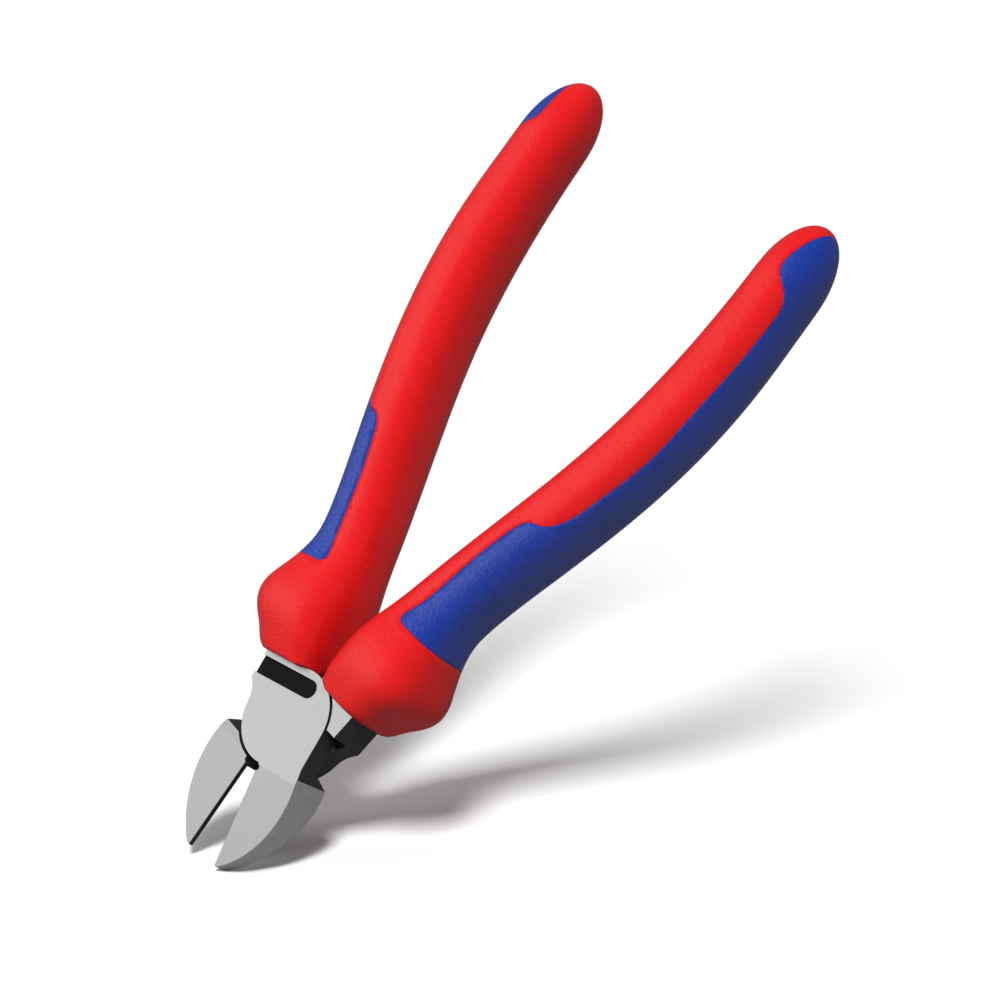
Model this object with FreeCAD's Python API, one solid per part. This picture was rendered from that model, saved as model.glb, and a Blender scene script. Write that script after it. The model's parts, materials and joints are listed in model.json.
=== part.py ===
import FreeCAD
import Part
import math
import os

V = FreeCAD.Vector

# Diagonal cutting pliers with a lap joint, in millimetres.
# Origin: on the pivot axis, in the ground front face of the joint.
# +Y runs along the handles, +X to the right with the front face up, +Z out of the front face.
# Every outline is drawn with the jaws closed and the middle of the head at z = 0.

# Driving sizes
overall_length = 160.0
jaw_reach = 29.7             # pivot to jaw tip
head_thickness = 8.6
boss_radius = 9.6            # round joint plate of each lever
jaw_bulge_radius = 20.2      # outer edge of a jaw, seen from the front
jaw_width = 10.3             # one jaw at its widest
tip_flat = 0.6               # blunt end of each jaw tip
front_opening = 7.4          # degrees that the front lever stands open at rest
rear_opening = 7.8           # and the rear lever

# Running clearances
lap_gap = 0.08               # between the two joint plates
arc_gap = 0.55               # round the boss of the other lever
pin_gap = 0.03               # radial, pivot pin in the turning plate
closed_gap = 0.05            # from each cutting edge to the middle plane
handle_gap = 0.35            # from each grip to the middle plane, jaws closed
moulding_gap = 0.02          # between steel and moulded plastic

# Joint
tang_step = 2.2              # the bare tang stands this far outside the boss
tang_inner = 0.5             # inner side of the bare tang
shoulder_y = 4.0             # where the tang gets its full thickness
flare_end_y = 3.6            # where the boss outline reaches the tang's outer side
mouth_inset = 0.5            # the grips start this far inside the end of the boss
shoulder_inset = 3.3         # jaw shoulder at mid thickness, inside the end of the boss
shoulder_slope = 2.0         # the same shoulder's run from mid thickness to the ground face
pin_radius = 3.5
pin_cover = 1.4              # unbroken steel in front of the blind pin
rivet_head_step = 1.2        # the rivet's head over its pin
rivet_head_height = 1.3

# Jaws
front_land = 0.4             # flat face left between the boss and the fall of the jaws
tip_drop = 3.65              # fall of the front face at the tip
rear_land = 2.4              # the same at the rear
tip_rise = 2.6               # rise of the rear face at the tip
land_height = 1.1            # upright land above the cutting edge
hollow_inset = 1.45          # from the other plate's clearance to the hollow under the edges
hollow_run = 1.0             # sideways run of the hollow for each mm of depth
hollow_depth = 13.0          # deeper than the jaw is thick
notch_radius = 0.6

# Recessed panel on the front lever
panel_depth = 0.5
panel_width = 3.5
panel_inset = 2.8            # from the panel's middle to the grips
panel_end_x = 1.6

# Steel bar inside a grip
bar_half_width = 3.6         # at the mouth
bar_end_half_width = 2.6     # at the far end
bar_half_thickness = 2.7
bar_end = 12.0               # from the bar's end to the grip's end

# Grips
collar = 1.4                 # the grip's mouth stands this far outside the tang
guard_rise = 6.4             # the guard's peak over the mouth
guard_length = 9.6           # from the mouth to the guard's peak
grip_length = 121.2          # the length for which the rows below are written
tip_round = 12.3             # length of the round end
section_points = 28
skin = 1.8                   # thickness of the soft cover
cover_low_x = 7.7            # inner corner of the soft cover behind the guard
cover_low_y = 27.6
cover_corner = 1.3           # its radius

half_head = head_thickness / 2
clearance_radius = boss_radius + arc_gap
tang_outer = boss_radius + tang_step
mouth_y = boss_radius - mouth_inset
grip_end_y = overall_length - jaw_reach
rivet_head_radius = pin_radius + rivet_head_step
ground_slope_y = -boss_radius - front_land
rear_slope_y = -boss_radius - rear_land
hollow_start_y = -clearance_radius - hollow_inset
panel_middle_y = mouth_y - panel_inset
guard_outer = tang_outer + collar + guard_rise
guard_y = mouth_y + guard_length
tip_round_start = grip_end_y - tip_round
far = 60.0


def along(distance):
    """Height of a point this far behind the mouth; the part behind the guard stretches."""
    if distance <= guard_length:
        return mouth_y + distance
    share = (distance - guard_length) / (grip_length - guard_length)
    return guard_y + share * (grip_end_y - guard_y)


# Distance behind the mouth, inner side, outer side, half thickness, squareness
grip_stations = [
    (along(0), handle_gap, tang_outer + collar, 6.7, 3.4),
    (along(2.9), handle_gap, guard_outer - 0.60 * guard_rise, 8.0, 3.4),
    (along(6.1), handle_gap, guard_outer - 0.22 * guard_rise, 9.2, 3.4),
    (along(guard_length), handle_gap, guard_outer, 9.75, 3.3),
    (along(12.6), handle_gap, guard_outer - 0.5, 9.5, 3.2),
    (along(15.4), 0.55, guard_outer - 1.6, 8.85, 3.0),
    (along(18.9), 1.09, 16.66, 7.96, 2.9),
    (along(22.9), 1.79, 15.81, 7.30, 2.8),
    (along(27.9), 2.74, 16.16, 7.14, 2.75),
    (along(36.9), 4.80, 18.00, 7.36, 2.7),
    (along(48.9), 7.74, 20.91, 7.55, 2.7),
    (along(62.9), 10.64, 23.81, 7.55, 2.7),
    (along(78.9), 12.36, 25.54, 7.49, 2.65),
    (along(92.9), 12.37, 25.28, 7.24, 2.6),
    (along(104.9), 11.45, 24.00, 6.93, 2.5),
    (along(grip_length), 9.55, 22.50, 6.33, 2.5),
]

# Edge of the soft cover on the face of a grip, from the guard to the tip
cover_edge = [
    (cover_low_x, along(20.5)), (10.1, along(31.9)), (13.0, along(44.1)), (14.6, along(47.1)),
    (17.4, along(48.5)), (19.9, along(51.9)), (21.4, along(56.9)), (24.05, along(70.9)),
    (24.5, along(80.9)), (24.35, along(91.9)), (23.4, along(102.4)), (21.6, along(107.8)),
    (18.6, along(110.1)), (17.7, along(113.4)), (17.7, along(122.4)),
]


def line(a, b):
    return Part.LineSegment(V(*a, 0), V(*b, 0)).toShape()


def arc(a, mid, b):
    return Part.Arc(V(*a, 0), V(*mid, 0), V(*b, 0)).toShape()


def spline(points, start_dir=None, end_dir=None):
    curve = Part.BSplineCurve()
    vectors = [V(x, y, 0) for x, y in points]
    if start_dir is None:
        curve.interpolate(vectors)
    else:
        curve.interpolate(Points=vectors, InitialTangent=V(*start_dir, 0), FinalTangent=V(*end_dir, 0))
    return curve.toShape()


def prism(edges, low, high):
    face = Part.Face(Part.Wire(edges))
    face.translate(V(0, 0, low))
    return face.extrude(V(0, 0, high - low))


def block(x0, x1, y0, y1, z0, z1):
    return Part.makeBox(x1 - x0, y1 - y0, z1 - z0, V(x0, y0, z0))


def cylinder(radius, low, high):
    return Part.makeCylinder(radius, high - low, V(0, 0, low), V(0, 0, 1))


def turned_over(shape):
    """The same piece turned half a turn about Y."""
    return shape.rotated(V(0, 0, 0), V(0, 1, 0), 180)


def mirrored(shape):
    return shape.mirror(V(0, 0, 0), V(1, 0, 0))


def on_circle(radius, degrees):
    angle = math.radians(degrees)
    return (radius * math.cos(angle), radius * math.sin(angle))


# ---- levers ----

def jaw_edge_point(y):
    """Outer edge of a jaw: one long arc, widest at its own centre height."""
    centre_x = jaw_width - jaw_bulge_radius
    tip_x = closed_gap + tip_flat
    centre_y = -jaw_reach + math.sqrt(jaw_bulge_radius ** 2 - (tip_x - centre_x) ** 2)
    x = centre_x + math.sqrt(jaw_bulge_radius ** 2 - (y - centre_y) ** 2)
    return (x, y)


def jaw_outline(top_y):
    """Closed outline of one jaw below top_y, on the +X side."""
    tip = (closed_gap + tip_flat, -jaw_reach)
    start = jaw_edge_point(top_y)
    middle = jaw_edge_point((top_y - jaw_reach) / 2)
    return [
        line((closed_gap, top_y), start),
        arc(start, middle, tip),
        line(tip, (closed_gap, -jaw_reach)),
        line((closed_gap, -jaw_reach), (closed_gap, top_y)),
    ]


def boss_plate():
    """Half-thickness joint plate: a disc with the roots of the tang and of the jaw."""
    low = lap_gap / 2
    disc = cylinder(boss_radius, low, half_head)
    side = block(0, boss_radius, -boss_radius + shoulder_inset - shoulder_slope - 1.0, 0, low, half_head)
    flare_start = on_circle(boss_radius, 186)
    flare = [
        line((0, 0), flare_start),
        spline([flare_start, (-(boss_radius + tang_outer) / 2 + 0.3, flare_end_y / 2),
                (-tang_outer, flare_end_y)], (-0.1, 1.0), (-0.8, 1.0)),
        line((-tang_outer, flare_end_y), (-tang_outer, mouth_y)),
        line((-tang_outer, mouth_y), (-tang_inner, mouth_y)),
        line((-tang_inner, mouth_y), (0, 0)),
    ]
    root = prism(flare, low, half_head)
    jaw_root = prism(jaw_outline(-boss_radius * 0.7), low, half_head)
    return disc.fuse([side, root, jaw_root])


def tang_block():
    """Full-thickness root of the handle behind the shoulder."""
    body = block(-tang_outer, -tang_inner, shoulder_y, mouth_y, -half_head, half_head)
    return body.cut(cylinder(clearance_radius, -half_head, lap_gap / 2))


def jaw_block():
    """Full-thickness jaw with its sloping shoulder on the side of the other plate."""
    middle_y = -boss_radius + shoulder_inset
    face_y = middle_y - shoulder_slope
    body = prism(jaw_outline(middle_y), -half_head, half_head)
    body = body.cut(cylinder(clearance_radius, -half_head, lap_gap / 2))
    slope = Part.Face(Part.makePolygon([
        V(0, middle_y, lap_gap / 2), V(0, face_y, -half_head), V(0, face_y, -far),
        V(0, 0, -far), V(0, 0, lap_gap / 2), V(0, middle_y, lap_gap / 2)]))
    return body.cut(slope.extrude(V(far, 0, 0)))


def bar_side(side):
    """One side of the bar, +1 outer or -1 inner, along the middle of the right grip."""
    end_y = grip_end_y - bar_end
    points = [((tang_inner + tang_outer) / 2 + side * bar_half_width, mouth_y)]
    for y, inner, outer, half_t, square in grip_stations:
        if mouth_y < y < end_y:
            share = (y - mouth_y) / (end_y - mouth_y)
            half = bar_half_width + (bar_end_half_width - bar_half_width) * share
            points.append(((inner + outer) / 2 + side * half, y))
    last_x, last_y = points[-1]
    return points + [(last_x - 0.1 * (end_y - last_y), end_y)]


def grip_bar():
    """Handle bar inside the left grip."""
    right = [(-x, y) for x, y in bar_side(-1)]
    left = [(-x, y) for x, y in bar_side(1)]
    edges = [spline(right), line(right[-1], left[-1]), spline(left[::-1]), line(left[0], right[0])]
    bar = prism(edges, -bar_half_thickness, bar_half_thickness)
    return bar.cut(cylinder(clearance_radius, -half_head, lap_gap / 2))


def lever_blank():
    """One lever before its jaw is ground: plate on top, jaw on +X, handle on -X."""
    blank = boss_plate().fuse([tang_block(), jaw_block(), grip_bar()])
    notch = cylinder(notch_radius, -far, far)
    notch.translate(V(closed_gap, -clearance_radius - notch_radius * 0.5, 0))
    return blank.cut(notch).removeSplitter()


def jaw_grinding():
    """What is ground off a jaw on the +X side: front slope, rear slope and hollow."""
    tip_y = -jaw_reach - 1.0
    slope = tip_drop / (jaw_reach + ground_slope_y)
    drop = slope * (ground_slope_y - tip_y)
    front = Part.Face(Part.makePolygon([
        V(0, ground_slope_y, half_head), V(0, tip_y, half_head - drop),
        V(0, tip_y, far), V(0, ground_slope_y, far), V(0, ground_slope_y, half_head)]))
    front = front.extrude(V(far, 0, 0))
    rise = tip_rise / (jaw_reach + rear_slope_y) * (rear_slope_y - tip_y)
    rear = Part.Face(Part.makePolygon([
        V(0, rear_slope_y, -half_head), V(0, tip_y, rise - half_head),
        V(0, tip_y, -far), V(0, rear_slope_y, -far), V(0, rear_slope_y, -half_head)]))
    rear = rear.extrude(V(far, 0, 0))

    def edge_point(y, depth):
        z = half_head - slope * (ground_slope_y - y) - land_height - depth
        return V(closed_gap + depth * hollow_run, y, z)

    sections = []
    for y in (hollow_start_y, tip_y):
        corner = edge_point(y, 0)
        low = edge_point(y, hollow_depth)
        sections.append(Part.makePolygon([
            corner, low, V(-closed_gap - 1.0, y, low.z), V(-closed_gap - 1.0, y, corner.z), corner]))
    hollow = Part.makeLoft(sections, True, True)
    return [front, rear, hollow]


def ground(lever, side):
    """Grind the jaw of a lever on the side +1 (right) or -1 (left)."""
    tools = jaw_grinding()
    if side < 0:
        tools = [mirrored(tool) for tool in tools]
    return lever.cut(tools)


def panel():
    """Shallow recess with one round end, open at the tang's outer side."""
    half = panel_width / 2
    top = panel_middle_y + half
    bottom = panel_middle_y - half
    edges = [
        line((-far, bottom), (panel_end_x, bottom)),
        arc((panel_end_x, bottom), (panel_end_x + half, panel_middle_y), (panel_end_x, top)),
        line((panel_end_x, top), (-far, top)),
        line((-far, top), (-far, bottom)),
    ]
    return prism(edges, half_head - panel_depth, far)


def front_lever():
    lever = ground(lever_blank(), 1)
    bore = cylinder(pin_radius, -far, half_head - pin_cover)
    return lever.cut([bore, panel()])


def rear_lever():
    lever = ground(turned_over(lever_blank()), -1)
    bore = cylinder(pin_radius + pin_gap, -far, far)
    seat = cylinder(rivet_head_radius + pin_gap, -far, -half_head + rivet_head_height + pin_gap)
    return lever.cut([bore, seat])


def pivot_rivet():
    pin = cylinder(pin_radius, -half_head, half_head - pin_cover)
    head = cylinder(rivet_head_radius, -half_head, -half_head + rivet_head_height)
    return pin.fuse(head).removeSplitter()


# ---- grips ----

def interpolate_stations():
    """Smooth curves for the four station values along y."""
    curves = []
    for column in range(1, 5):
        curve = Part.BSplineCurve()
        curve.interpolate([V(row[0], row[column], 0) for row in grip_stations])
        curves.append(curve)
    return curves


def value_at(curve, y):
    low, high = curve.FirstParameter, curve.LastParameter
    for _ in range(60):      # halving the span until it is exact
        parameter = (low + high) / 2
        if curve.value(parameter).x < y:
            low = parameter
        else:
            high = parameter
    return curve.value(parameter).y


def station_list():
    """Where sections are drawn, closer together towards the round end."""
    rows = [row[0] for row in grip_stations if row[0] < tip_round_start]
    steps = 7
    for i in range(steps + 1):
        angle = math.radians(88.0 * i / steps)
        rows.append(tip_round_start + tip_round * math.sin(angle))
    return rows


def grip_section(curves, y, inward):
    inner, outer, half_t, square = [value_at(c, y) for c in curves]
    middle = (inner + outer) / 2
    shrink = 1.0
    if y > tip_round_start:
        t = (y - tip_round_start) / tip_round
        shrink = math.sqrt(max(1 - t * t, 0.0))
    half_w = (outer - inner) / 2 * shrink - inward
    half_h = half_t * shrink - inward
    points = []
    for i in range(section_points):
        angle = 2 * math.pi * i / section_points
        c = math.cos(angle)
        s = math.sin(angle)
        x = half_w * math.copysign(abs(c) ** (2 / square), c)
        z = half_h * math.copysign(abs(s) ** (2 / square), s)
        points.append(V(middle + x, y, z))
    curve = Part.BSplineCurve()
    curve.interpolate(Points=points, PeriodicFlag=True)
    return Part.Wire(curve.toShape())


def grip_body(inward=0.0):
    """Whole right grip, or the same form a skin's thickness smaller."""
    curves = interpolate_stations()
    wires = []
    for y in station_list():
        if inward and y > grip_end_y - 2.2 * inward:
            continue
        wires.append(grip_section(curves, y, inward))
    return Part.makeLoft(wires, True, False)


def cover_zone():
    """Everything on the outer side of the soft cover's edge."""
    first = cover_edge[0]
    corner = (cover_low_x + cover_corner, cover_low_y)
    edges = [
        line((far, cover_low_y), corner),
        arc(corner, (cover_low_x + 0.3, cover_low_y + 0.5), first),
        spline(cover_edge),
        line(cover_edge[-1], (far, cover_edge[-1][1])),
        line((far, cover_edge[-1][1]), (far, cover_low_y)),
    ]
    return prism(edges, -far, far)


def right_grip():
    """Hard core and soft cover of the right grip, whose lever has its plate at the rear."""
    body = grip_body()
    own_plate = cylinder(boss_radius + moulding_gap, -far, lap_gap)
    other_plate = cylinder(clearance_radius, -lap_gap, far)
    cover = body.common(cover_zone()).cut(grip_body(skin))
    bar = turned_over(grip_bar())
    core = body.cut([cover, bar, own_plate, other_plate])
    return core, cover


# ---- assembly ----

def placed(shape, degrees):
    """Open one half about the pivot and put the ground front face at z = 0."""
    turned = shape.rotated(V(0, 0, 0), V(0, 0, 1), degrees)
    turned.translate(V(0, 0, -half_head))
    return turned


def main():
    core, cover = right_grip()
    nodes = {
        "front_lever": placed(front_lever(), front_opening),
        "rear_lever": placed(rear_lever(), -rear_opening),
        "pivot_rivet": placed(pivot_rivet(), front_opening),
        "right_grip_core": placed(core, -rear_opening),
        "right_grip_cover": placed(cover, -rear_opening),
        "left_grip_core": placed(turned_over(core), front_opening),
        "left_grip_cover": placed(turned_over(cover), front_opening),
    }
    os.makedirs("parts", exist_ok=True)
    for name, shape in nodes.items():
        print(name, len(shape.Solids), "solid", shape.isValid(), "volume %.1f" % shape.Volume)
        shape.Solids[0].exportStep("parts/" + name + ".step")


main()
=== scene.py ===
# %% [markdown]
# # Diagonal cutting pliers
#
# These are side cutters: two forged steel levers that cross at a rivet, with a moulded grip
# of two plastics on each handle. The shape comes ready from the imported solids. What is made
# here is the look of it: bright ground faces, dark oxide walls, and grained red and blue
# plastic, on a white floor.
#
# The frame holds those solids in metres, with the pivot at its origin. The same shapes could
# be modelled again in Blender, but then two models would have to be kept alike.

import json
import math

import bmesh
import bpy
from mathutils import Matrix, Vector

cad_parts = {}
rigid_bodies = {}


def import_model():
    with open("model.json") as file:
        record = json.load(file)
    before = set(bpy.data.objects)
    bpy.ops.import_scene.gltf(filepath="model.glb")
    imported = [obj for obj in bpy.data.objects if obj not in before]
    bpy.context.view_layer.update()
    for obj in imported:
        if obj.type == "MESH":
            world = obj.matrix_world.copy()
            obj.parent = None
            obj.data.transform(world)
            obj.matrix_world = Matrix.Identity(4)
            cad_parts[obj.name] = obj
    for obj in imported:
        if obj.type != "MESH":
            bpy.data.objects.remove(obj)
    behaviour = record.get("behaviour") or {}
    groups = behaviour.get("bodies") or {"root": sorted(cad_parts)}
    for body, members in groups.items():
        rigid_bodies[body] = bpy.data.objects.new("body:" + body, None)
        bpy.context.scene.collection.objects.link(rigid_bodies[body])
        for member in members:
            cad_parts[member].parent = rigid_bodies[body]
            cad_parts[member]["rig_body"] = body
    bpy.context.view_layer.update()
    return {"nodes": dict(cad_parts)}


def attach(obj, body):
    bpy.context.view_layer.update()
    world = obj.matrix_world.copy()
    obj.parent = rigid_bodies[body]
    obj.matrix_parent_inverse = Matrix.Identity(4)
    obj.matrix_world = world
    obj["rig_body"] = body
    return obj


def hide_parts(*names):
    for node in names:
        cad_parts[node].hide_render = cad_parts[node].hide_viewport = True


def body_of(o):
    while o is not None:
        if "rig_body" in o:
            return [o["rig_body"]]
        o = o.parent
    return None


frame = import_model()
MM = 0.001
scene = bpy.context.scene

# %% [markdown]
# ## The camera
#
# A long lens from eight tenths of a metre away keeps the two handles nearly free of
# perspective, as in a tool maker's catalogue. A camera can be aimed with a Track To
# constraint, but plain numbers for its place and its three turns are easier to read back.

# %% Place the camera
camera_data = bpy.data.cameras.new("camera")
camera_data.lens = 158.6
camera_data.sensor_width = 36.0
camera = bpy.data.objects.new("camera", camera_data)
camera.location = (516.3 * MM, 47.65 * MM, 606.7 * MM)
camera.rotation_euler = [math.radians(turn) for turn in (26.193, 31.066, 42.875)]
scene.collection.objects.link(camera)
scene.camera = camera
print("camera at", tuple(round(v, 3) for v in camera.location))

# %% [markdown]
# ## The floor
#
# The pliers stand propped on the tips of their jaws. The frame keeps the tool flat and its
# joint upright, so it is the floor that slopes here. One large square is enough. It could be
# turned as an object, but turning the mesh itself leaves the object plain. The height comes
# from the pliers: the lowest of their points along the floor's upward direction, less a
# hair's breadth so that nothing cuts into it.

# %% Lay the floor under the jaw tips
FLOOR_HALF_WIDTH = 4.0
FLOOR_GAP = 0.05 * MM
floor_up = Vector((-0.198, 0.761, 0.618)).normalized()
lowest = min(
    (node.matrix_world @ vertex.co).dot(floor_up)
    for node in frame["nodes"].values()
    for vertex in node.data.vertices
)
slope = floor_up.to_track_quat("Z", "Y").to_matrix().to_4x4()
shape = bmesh.new()
bmesh.ops.create_grid(shape, x_segments=1, y_segments=1, size=FLOOR_HALF_WIDTH)
bmesh.ops.transform(shape, matrix=slope, verts=shape.verts)
bmesh.ops.translate(shape, vec=floor_up * (lowest - FLOOR_GAP), verts=shape.verts)
floor_mesh = bpy.data.meshes.new("floor")
shape.to_mesh(floor_mesh)
shape.free()
floor = bpy.data.objects.new("floor", floor_mesh)
scene.collection.objects.link(floor)
print("floor passes %.1f mm below the pivot" % (-lowest / MM))

# %% [markdown]
# ## The floor's paper
#
# The floor is white paper that takes a shadow. A single white Diffuse shader would do, but
# it would throw so much light back up that the undersides of the grips went pale. So the
# paper has two whites: a greyer one for the light that it passes on, and a brighter one for
# the camera, which is written above 1 and so is more than real paper reflects. A third
# shader lets the view through from below, so that the rear of the pliers can be looked at
# too.

# %% Mix the floor's shaders
floor_paint = bpy.data.materials.new("floor paper")
floor_paint.use_nodes = True
nodes, links = floor_paint.node_tree.nodes, floor_paint.node_tree.links
nodes.remove(nodes["Principled BSDF"])


def paper_shader(kind, white=None):
    """A plain shader node in the floor's material, of this whiteness; gives its output."""
    node = nodes.new(kind)
    if white:
        node.inputs["Color"].default_value = (white, white, white, 1)
    return node.outputs[0]


def choose(mask, first, second):
    """Mixes two shaders by a mask and gives the mix."""
    mix = nodes.new("ShaderNodeMixShader")
    links.new(mask, mix.inputs[0])
    links.new(first, mix.inputs[1])
    links.new(second, mix.inputs[2])
    return mix.outputs[0]


cast_paper = paper_shader("ShaderNodeBsdfDiffuse", 0.30)
seen_paper = paper_shader("ShaderNodeBsdfDiffuse", 1.24)
# An Emission shader: a painted white glow that the paper turns into away from the jaw tips.
white_glow = paper_shader("ShaderNodeEmission")
clear = paper_shader("ShaderNodeBsdfTransparent")
print("paper shaders:", [node.name for node in nodes])

# %% [markdown]
# ## The shadow's reach
#
# On a real studio table the shadow is deep where the tips touch the paper, and thins out
# along the handles. Here that thinning is painted light: the paper turns into a plain white
# glow with distance from the jaw tips, which lifts the shadow. A gradient texture could do
# that along one axis. The distance to a point does it evenly all round, and Smooth Step
# leaves no visible ring where it starts or ends.

# %% Fade the paper into white
FADE_START, FADE_END = 0.06, 0.23
jaw_tips = Vector((2 * MM, -28 * MM, -8 * MM))
place = nodes.new("ShaderNodeTexCoord")
reach = nodes.new("ShaderNodeVectorMath")
reach.operation = "DISTANCE"
reach.inputs[1].default_value = jaw_tips
links.new(place.outputs["Object"], reach.inputs[0])
fade = nodes.new("ShaderNodeMapRange")
fade.interpolation_type = "SMOOTHSTEP"
fade.inputs["From Min"].default_value = FADE_START
fade.inputs["From Max"].default_value = FADE_END
links.new(reach.outputs["Value"], fade.inputs["Value"])

rays = nodes.new("ShaderNodeLightPath")
side = nodes.new("ShaderNodeNewGeometry")
shown_paper = choose(fade.outputs["Result"], seen_paper, white_glow)
paper = choose(rays.outputs["Is Camera Ray"], cast_paper, shown_paper)
one_sided = choose(side.outputs["Backfacing"], paper, clear)
links.new(one_sided, nodes["Material Output"].inputs["Surface"])
floor_mesh.materials.append(floor_paint)
print("shadow fades from %.0f to %.0f mm" % (FADE_START / MM, FADE_END / MM))

# %% [markdown]
# ## The background
#
# The world is white where it is seen, and dim where it lights. One Background at full
# strength would fill every shadow. Two of them, mixed by the kind of ray, keep the backdrop
# white and the fill light low. Mirror rays get a small share of the white one, so that steel
# and plastic turned away from the lamps still have something pale to reflect.

# %% Build the background
FILL_STRENGTH = 0.13
MIRRORED_SHARE = 0.12
world = bpy.data.worlds.new("studio")
scene.world = world
world.use_nodes = True
nodes, links = world.node_tree.nodes, world.node_tree.links
nodes.clear()


def white_background(strength):
    """A white Background node of this strength."""
    node = nodes.new("ShaderNodeBackground")
    node.inputs["Color"].default_value = (1, 1, 1, 1)
    node.inputs["Strength"].default_value = strength
    return node.outputs[0]


def ray_math(operation, first, second):
    """A Math node between two ray masks, or a mask and a number."""
    node = nodes.new("ShaderNodeMath")
    node.operation = operation
    links.new(first, node.inputs[0])
    if isinstance(second, float):
        node.inputs[1].default_value = second
    else:
        links.new(second, node.inputs[1])
    return node.outputs[0]


rays = nodes.new("ShaderNodeLightPath").outputs
shown = ray_math("MAXIMUM", rays["Is Camera Ray"], rays["Is Transmission Ray"])
mirrored = ray_math("MULTIPLY", rays["Is Glossy Ray"], MIRRORED_SHARE)
both = nodes.new("ShaderNodeMixShader")
out = nodes.new("ShaderNodeOutputWorld")
links.new(ray_math("MAXIMUM", shown, mirrored), both.inputs[0])
links.new(white_background(FILL_STRENGTH), both.inputs[1])
links.new(white_background(1.0), both.inputs[2])
links.new(both.outputs[0], out.inputs["Surface"])
scene.view_settings.view_transform = "Standard"
print("background nodes:", len(nodes))

# %% [markdown]
# ## The lamps
#
# Two softboxes light the pliers. The key hangs high in front and draws the long shadow of
# the handles. It is hidden from mirror rays, because its small square would show as a hard
# glint on the grips. The second box is larger and stands lower on the left, just where the
# flat front faces mirror it towards the camera: ground steel is dark until it has something
# bright to reflect. Sun lamps would be simpler, but their reflection is a dot.

# %% Hang the softboxes
centre = Vector((0, 45 * MM, 0))


def soft_lamp(name, direction, distance, size, power):
    """A square softbox that faces the middle of the pliers from this direction."""
    data = bpy.data.lights.new(name, "AREA")
    data.shape = "SQUARE"
    data.size = size
    data.energy = power
    lamp = bpy.data.objects.new(name, data)
    towards = Vector(direction).normalized()
    lamp.location = centre + towards * distance
    lamp.rotation_euler = towards.to_track_quat("Z", "Y").to_euler()
    scene.collection.objects.link(lamp)
    return lamp


key = soft_lamp("key", (0.20, 0.40, 0.90), distance=4.8, size=1.05, power=195.0)
key.visible_glossy = False
soft_lamp("left", (-0.64, -0.13, 0.745), distance=2.8, size=2.1, power=23.0)

# %% [markdown]
# ## Helpers for node groups
#
# Two effects turn up in every finish: an edge that is broken or darkened, and a fine grain.
# Their nodes could be copied into each material, but a node group is built once and then
# placed with each finish's own values. These two helpers make an empty group and a Math
# node, and keep the wiring below short.

# %% Group and Math helpers
def new_group(name, ins, outs):
    """A shader group with float sockets; gives the group, its inputs and its output node."""
    group = bpy.data.node_groups.new(name, "ShaderNodeTree")
    for label, value in ins:
        socket = group.interface.new_socket(
            label, in_out="INPUT", socket_type="NodeSocketFloat")
        socket.default_value = value
    for label in outs:
        group.interface.new_socket(label, in_out="OUTPUT", socket_type="NodeSocketFloat")
    start = group.nodes.new("NodeGroupInput")
    return group, start.outputs, group.nodes.new("NodeGroupOutput")


def math_node(tree, operation, first, second=None, third=None, clamp=False):
    """One Math node fed with sockets or plain numbers; gives its output."""
    node = tree.nodes.new("ShaderNodeMath")
    node.operation = operation
    node.use_clamp = clamp
    for slot, value in enumerate((first, second, third)):
        if isinstance(value, (int, float)):
            node.inputs[slot].default_value = value
        elif value is not None:
            tree.links.new(value, node.inputs[slot])
    return node.outputs[0]


print("helpers:", new_group.__name__, "and", math_node.__name__)

# %% [markdown]
# ## Worn and shaded edges
#
# A forged or moulded edge is never quite sharp. It is rubbed bright on steel. On the grips
# every sharp edge is painted darker, a painted shade that stands for the narrow groove where
# the two plastics meet. Pointiness could find the edges, but it needs a dense mesh. A Bevel
# node gives the direction that the surface would have if its edges were rolled over. Where
# that differs from the true direction, there is an edge.

# %% The worn and shaded edge group
edge_group, edge_in, edge_out = new_group(
    "worn and shaded edge", [("Radius", 0.0004), ("Strength", 3.0)], ["Edge"])
rolled = edge_group.nodes.new("ShaderNodeBevel")
rolled.samples = 8
true_side = edge_group.nodes.new("ShaderNodeNewGeometry")
meet = edge_group.nodes.new("ShaderNodeVectorMath")
meet.operation = "DOT_PRODUCT"
edge_group.links.new(edge_in["Radius"], rolled.inputs["Radius"])
edge_group.links.new(rolled.outputs["Normal"], meet.inputs[0])
edge_group.links.new(true_side.outputs["Normal"], meet.inputs[1])
away = math_node(edge_group, "SUBTRACT", 1.0, meet.outputs["Value"])
worn_and_shaded = math_node(edge_group, "MULTIPLY", away, edge_in["Strength"], clamp=True)
edge_group.links.new(worn_and_shaded, edge_out.inputs["Edge"])
print("edge group nodes:", len(edge_group.nodes))

# %% [markdown]
# ## Grain
#
# Every finish here has a texture that the finger feels, and a slow change of tone over some
# millimetres. Both are noise on Object coordinates, so they stay put when a lever swings.
# Stretch pulls the noise along the handles: below 1 it draws the long scratches of a grinding
# belt, at 1 it stays as even as the skin of a moulded grip. A Wave texture would give
# scratches too, but all of them alike.

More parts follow.
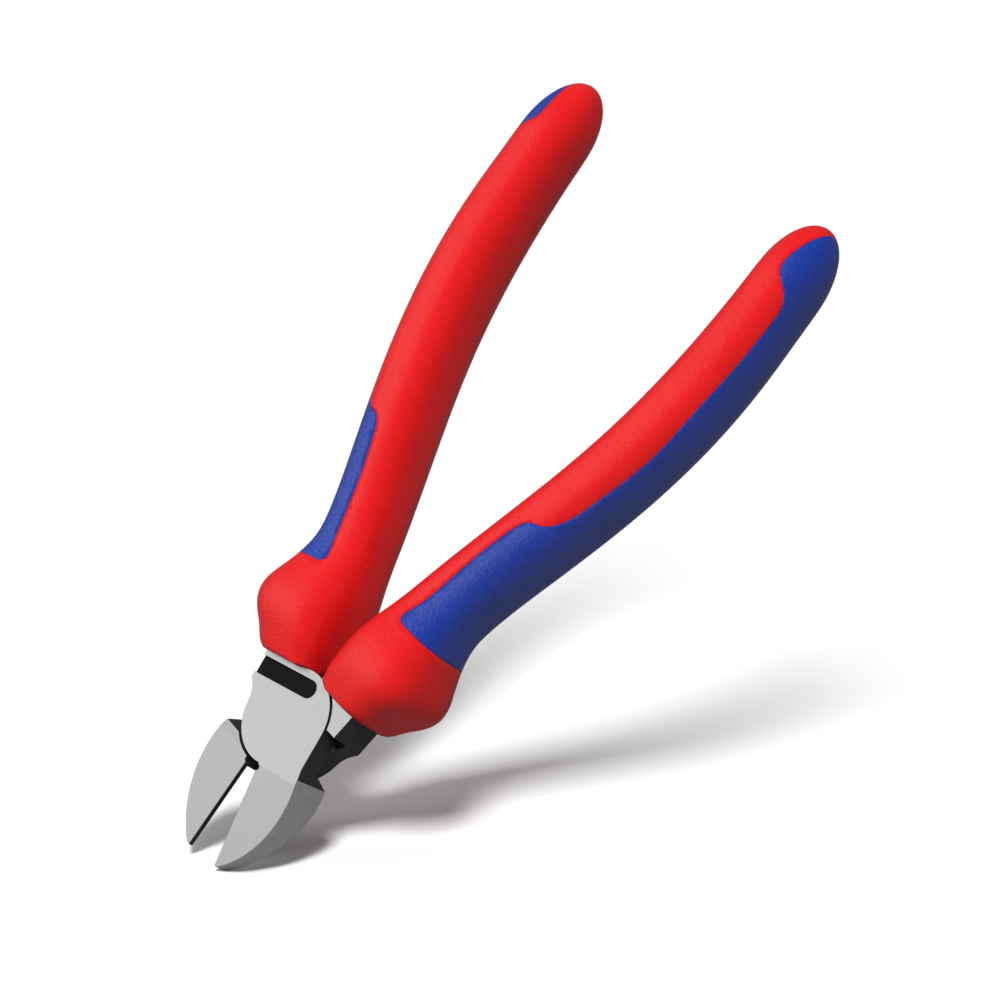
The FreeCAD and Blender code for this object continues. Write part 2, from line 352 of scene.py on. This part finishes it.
# %% The grain group
grain_group, grain_in, grain_out = new_group(
    "grain", [("Fine", 3000.0), ("Slow", 60.0), ("Stretch", 1.0)], ["Texture", "Tone"])
own = grain_group.nodes.new("ShaderNodeTexCoord")
along = grain_group.nodes.new("ShaderNodeCombineXYZ")
along.inputs["X"].default_value = 1.0
along.inputs["Z"].default_value = 1.0
grain_group.links.new(grain_in["Stretch"], along.inputs["Y"])
pulled = grain_group.nodes.new("ShaderNodeVectorMath")
pulled.operation = "MULTIPLY"
grain_group.links.new(own.outputs["Object"], pulled.inputs[0])
grain_group.links.new(along.outputs[0], pulled.inputs[1])
for label, scale_in, detail in (("Texture", "Fine", 3.0), ("Tone", "Slow", 4.0)):
    noise = grain_group.nodes.new("ShaderNodeTexNoise")
    noise.inputs["Detail"].default_value = detail
    noise.inputs["Roughness"].default_value = 0.6
    grain_group.links.new(pulled.outputs[0], noise.inputs["Vector"])
    grain_group.links.new(grain_in[scale_in], noise.inputs["Scale"])
    grain_group.links.new(noise.outputs["Fac"], grain_out.inputs[label])
print("groups:", [g.name for g in bpy.data.node_groups])

# %% [markdown]
# ## One recipe for every finish
#
# Steel, enamel and plastic differ in their numbers and not in their build: the grain moves
# the colour and the roughness a little, the edge changes the colour, and a bump on top of
# rolled edges catches the light. So one function makes them all. The numbers that are the
# same all over a finish are set on the shader itself, where an export can read them.

# %% Small parts of the recipe
def place_group(tree, group, values):
    """Places a node group in a material with its own values; gives its outputs."""
    node = tree.nodes.new("ShaderNodeGroup")
    node.node_tree = group
    for label, value in values.items():
        node.inputs[label].default_value = value
    return node.outputs


def shade(colour, share):
    """A colour made lighter or darker by a share of itself, kept between black and white."""
    return [min(max(part * (1 + share), 0), 1) for part in colour] + [1]


def mix_colours(tree, mask, first, second):
    """Mixes two colours by a mask; the first may be a socket."""
    mix = tree.nodes.new("ShaderNodeMix")
    mix.data_type = "RGBA"
    if isinstance(first, list):
        mix.inputs["A"].default_value = first
    else:
        tree.links.new(first, mix.inputs["A"])
    mix.inputs["B"].default_value = second
    tree.links.new(mask, mix.inputs["Factor"])
    return mix.outputs["Result"]


print("a lighter red:", [round(part, 3) for part in shade((0.80, 0.012, 0.014), 0.22)])

# %% [markdown]
# ## The recipe itself
#
# Lengths are in millimetres: radius is how far the edges are rolled, and height is how deep
# the grain goes. Fine and slow count the grains in a metre. Spread and rough_spread say how
# much the colour and the roughness wander, and shine is the strength of the clear reflection
# on enamel and plastic.

# %% Make a finish
EDGE_STRENGTH = 3.0


def finish(name, colour, spread, rough, rough_spread, metal=0.0, fine=3000, slow=60,
           stretch=1.0, height=0.02, edge_wear_and_shade_colour=(0, 0, 0), radius=0.4, shine=0.5):
    """A material whose tone and roughness wander with the grain, with rolled edges."""
    material = bpy.data.materials.new(name)
    material.use_nodes = True
    tree = material.node_tree
    shader = tree.nodes["Principled BSDF"]
    shader.inputs["Metallic"].default_value = metal
    shader.inputs["Specular IOR Level"].default_value = shine
    grain = place_group(tree, grain_group, {"Fine": fine, "Slow": slow, "Stretch": stretch})
    edge = place_group(tree, edge_group, {"Radius": radius * MM, "Strength": EDGE_STRENGTH})

    fine_half = math_node(tree, "MULTIPLY", grain["Texture"], 0.5)
    tone = math_node(tree, "MULTIPLY_ADD", grain["Tone"], 0.5, fine_half)
    body = mix_colours(tree, tone, shade(colour, -spread), shade(colour, spread))
    # The edge colour is rubbed wear on steel and painted shade on the grips.
    edged = mix_colours(tree, edge["Edge"], body, [*edge_wear_and_shade_colour, 1])
    tree.links.new(edged, shader.inputs["Base Color"])
    dullness = math_node(tree, "MULTIPLY_ADD", tone, rough_spread, rough - rough_spread / 2)
    tree.links.new(dullness, shader.inputs["Roughness"])

    rolled_over = tree.nodes.new("ShaderNodeBevel")
    rolled_over.samples = 8
    rolled_over.inputs["Radius"].default_value = radius * MM
    bump = tree.nodes.new("ShaderNodeBump")
    bump.inputs["Distance"].default_value = height * MM
    bump.inputs["Strength"].default_value = 1.0
    tree.links.new(grain["Texture"], bump.inputs["Height"])
    tree.links.new(rolled_over.outputs["Normal"], bump.inputs["Normal"])
    tree.links.new(bump.outputs["Normal"], shader.inputs["Normal"])
    return material


print("recipe:", finish.__name__, "with edges at strength", EDGE_STRENGTH)

# %% [markdown]
# ## Ground steel
#
# After forging, the front of the pliers is ground on a belt, and the outer sides of the jaws
# on a wheel. The flat over the joint shows the belt's long scratches, the sloping jaws have
# shorter ones, and the sides have the deepest grain, running across. The small flat at the
# root of the left jaw mirrors the softbox towards the camera, so its steel carries painted
# shade: it is written darker than the jaw, to look even with it in this light. On the real
# tool it is the same steel. All of them are metal with a middling roughness: polished steel
# would mirror the softbox, and these faces only glow with it.

# %% Steel finishes
belt_ground = dict(spread=0.42, rough=0.42, rough_spread=0.34, metal=1.0, fine=2600,
                   height=0.016, radius=0.12)
ground_steel = finish("ground steel", (0.455, 0.455, 0.457), slow=1100, stretch=0.16,
                      edge_wear_and_shade_colour=(0.60, 0.60, 0.61), **belt_ground)
jaw_steel = finish("ground jaw steel", (0.45, 0.45, 0.46), slow=900, stretch=0.4,
                   edge_wear_and_shade_colour=(0.58, 0.58, 0.59), **belt_ground)
# A darker copy of the jaw steel: painted shade on the flat at the left jaw's root.
root_steel_painted_shade = finish("ground jaw root painted shade", (0.37, 0.37, 0.378), slow=900, stretch=0.4,
                    edge_wear_and_shade_colour=(0.58, 0.58, 0.59), **belt_ground)
side_steel = finish("ground jaw side", (0.66, 0.66, 0.67), 0.45, 0.45, 0.25, metal=1.0,
                    fine=2200, slow=500, stretch=2.0, height=0.025,
                    edge_wear_and_shade_colour=(0.80, 0.80, 0.81), radius=0.15)
print("steels:", [m.name for m in (ground_steel, jaw_steel, root_steel_painted_shade, side_steel)])

# %% [markdown]
# ## Dark oxide and black enamel
#
# Where it isn't ground, the steel keeps the dark oxide skin of its hardening bath. That skin
# is no bare metal, so Metallic stays at 0 and its edges are rubbed a little paler. The
# recessed panel on the joint is filled with black enamel, which is darker still and smooth.

# %% Oxide and enamel
oxide = finish("dark oxide steel", (0.027, 0.0275, 0.029), 0.35, 0.42, 0.18, slow=250,
               edge_wear_and_shade_colour=(0.09, 0.09, 0.095), radius=0.25, shine=0.3)
panel_paint = finish("black panel enamel", (0.006, 0.006, 0.007), 0.3, 0.45, 0.1, slow=150,
                     height=0.004, edge_wear_and_shade_colour=(0.006, 0.006, 0.007), radius=0.1,
                     shine=0.05)
print("dark finishes:", oxide.name, "and", panel_paint.name)

# %% [markdown]
# ## The two plastics
#
# The red core of a grip is a hard plastic with a fine moulded grain. The blue cover is softer
# and coarser to the touch, and has a broader sheen, which gives its front a paler band. Both
# are painted darker at their edges, a painted shade that stands for the narrow groove where
# the two mouldings meet and light doesn't reach; it falls on every sharp edge of the grips.

# %% Plastic finishes
# The dark edge colours below are painted shade at the grips' edges.
red = finish("red hard plastic", (0.80, 0.012, 0.014), 0.22, 0.34, 0.10, fine=2000, slow=90,
             height=0.120, edge_wear_and_shade_colour=(0.36, 0.004, 0.005), radius=0.30, shine=0.3)
blue = finish("blue soft plastic", (0.002, 0.034, 0.34), 0.60, 0.38, 0.12, fine=1800,
              slow=90, height=0.260, edge_wear_and_shade_colour=(0.001, 0.005, 0.05), radius=0.25,
              shine=0.9)
print("finishes:", [m.name for m in bpy.data.materials])

# %% [markdown]
# ## Copies that can be dressed
#
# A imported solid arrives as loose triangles, so it can't be shaded smoothly, and it must stay
# as it is. Each one is therefore copied, and the copy's triangles are joined into one skin.
# The copy rides on the same body as its solid and is shown in its place. Smooth shading
# stops at edges sharper than the given angle. On the levers the wide front and rear faces
# are left flat as well, or their long triangles would show as streaks.

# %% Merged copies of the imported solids
WELD_DISTANCE = 0.002 * MM


def merged_copy(node_name, piece_name, sharp=50.0, flat_ends=False):
    """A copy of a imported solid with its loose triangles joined, smooth up to this angle."""
    source = frame["nodes"][node_name]
    mesh = source.data.copy()
    mesh.name = piece_name
    mesh.materials.clear()
    skin = bmesh.new()
    skin.from_mesh(mesh)
    bmesh.ops.remove_doubles(skin, verts=skin.verts, dist=WELD_DISTANCE)
    skin.to_mesh(mesh)
    skin.free()
    mesh.shade_smooth()
    mesh.set_sharp_from_angle(angle=math.radians(sharp))
    if flat_ends:
        for face in mesh.polygons:
            face.use_smooth = abs(face.normal.z) < 0.6
    piece = bpy.data.objects.new(piece_name, mesh)
    scene.collection.objects.link(piece)
    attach(piece, body_of(source)[0])
    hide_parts(node_name)
    print(piece_name, len(mesh.polygons), "faces")
    return piece


# %% [markdown]
# ## Which face gets which finish
#
# Each lever is one forging, oxidised all over and then ground bright in places. It could be
# cut into a piece for each finish, but the real one is a single part. Instead every face of
# the copy picks its finish by which way it looks and where it lies, as the grinder would:
# fronts are bright, the sloping jaws and their outer walls have their own steels, and the
# rest stays dark. The limits are in millimetres from the pivot: along the handles for where
# a finish starts, and in depth for how far below the front it still counts.

# %% Sort the faces of a lever
lever_finishes = [oxide, ground_steel, jaw_steel, side_steel, panel_paint, root_steel_painted_shade]
OXIDE, JOINT_FLAT, JAW_SLOPE, JAW_SIDE, PANEL, JAW_ROOT_PAINTED_SHADE = range(len(lever_finishes))
SLOPE_STARTS, ROOT_STARTS, SIDE_STARTS, TIP_STARTS = -8.0, -2.0, -7.5, -24.0
FLAT_DEPTH, PANEL_TOP, PANEL_BOTTOM, SLOPE_DEPTH = -0.2, -0.3, -0.7, -5.0
SIDE_FROM_MIDDLE = 3.0


def pick_finish(centre_mm, turn, jaw_side):
    """The finish of one face of a lever, from its middle and the way it looks."""
    x, y, z = centre_mm
    front, level, wall = turn.z > 0.9, turn.z >= 0.999, abs(turn.z) < 0.6
    outward = turn.x * jaw_side > 0.2
    at_root = jaw_side < 0 and y < ROOT_STARTS
    if front and not level and z > SLOPE_DEPTH and (y < SLOPE_STARTS or at_root):
        return JAW_SLOPE
    if front and z > FLAT_DEPTH:
        # The flat at the left jaw's root takes the darker steel, painted shade against its
        # reflection.
        return JAW_ROOT_PAINTED_SHADE if at_root else JOINT_FLAT
    if front and PANEL_BOTTOM < z < PANEL_TOP and y > 0:
        return PANEL
    beside = y < SIDE_STARTS and x * jaw_side > SIDE_FROM_MIDDLE
    if wall and outward and (beside or y < TIP_STARTS):
        return JAW_SIDE
    return OXIDE


def dress_lever(piece, jaw_side):
    """Gives each face of a lever its finish; jaw_side is +1 for the right jaw, -1 for left."""
    for material in lever_finishes:
        piece.data.materials.append(material)
    for face in piece.data.polygons:
        face.material_index = pick_finish(face.center / MM, face.normal, jaw_side)
    bright = sum(face.material_index != OXIDE for face in piece.data.polygons)
    print(piece.name, "has", bright, "faces that aren't oxide")


# %% [markdown]
# ## The two levers
#
# The front lever carries the right jaw and the left handle, and its ground flat hides the
# rivet. The rear lever is the same forging turned over, so that only its jaw, its shoulder
# and its walls show from the front. Their edges are crisp, so shading is only smoothed up to
# 25 degrees.

# %% Dress the levers
LEVER_SHARP = 25.0
front_piece = merged_copy("front_lever", "front_lever_finished", LEVER_SHARP, True)
dress_lever(front_piece, 1)
rear_piece = merged_copy("rear_lever", "rear_lever_finished", LEVER_SHARP, True)
dress_lever(rear_piece, -1)

# %% [markdown]
# ## The grips
#
# On each handle a blue cover is moulded into a shallow seat in the red core, flush with it.
# The two plastics could be one mesh with two materials, but they are separate parts on the
# real tool, so each keeps its own piece and its own colour slot.

# %% Dress the grips
for name in ("right_grip_core", "left_grip_core"):
    core = merged_copy(name, name + "_finished")
    core.data.materials.append(red)
for name in ("right_grip_cover", "left_grip_cover"):
    cover = merged_copy(name, name + "_finished")
    cover.data.materials.append(blue)

# %% [markdown]
# ## The rivet
#
# The rivet is pressed blind into the front lever, and only its flush head shows at the rear.
# It could share the oxide of the lever round it, but a rivet is set after the levers are
# hardened and is then ground off level, so it gets the ground steel of the jaws' sides and
# stands out as a bright disc.

# %% Dress the rivet
rivet = merged_copy("pivot_rivet", "pivot_rivet_finished", LEVER_SHARP, True)
rivet.data.materials.append(side_steel)
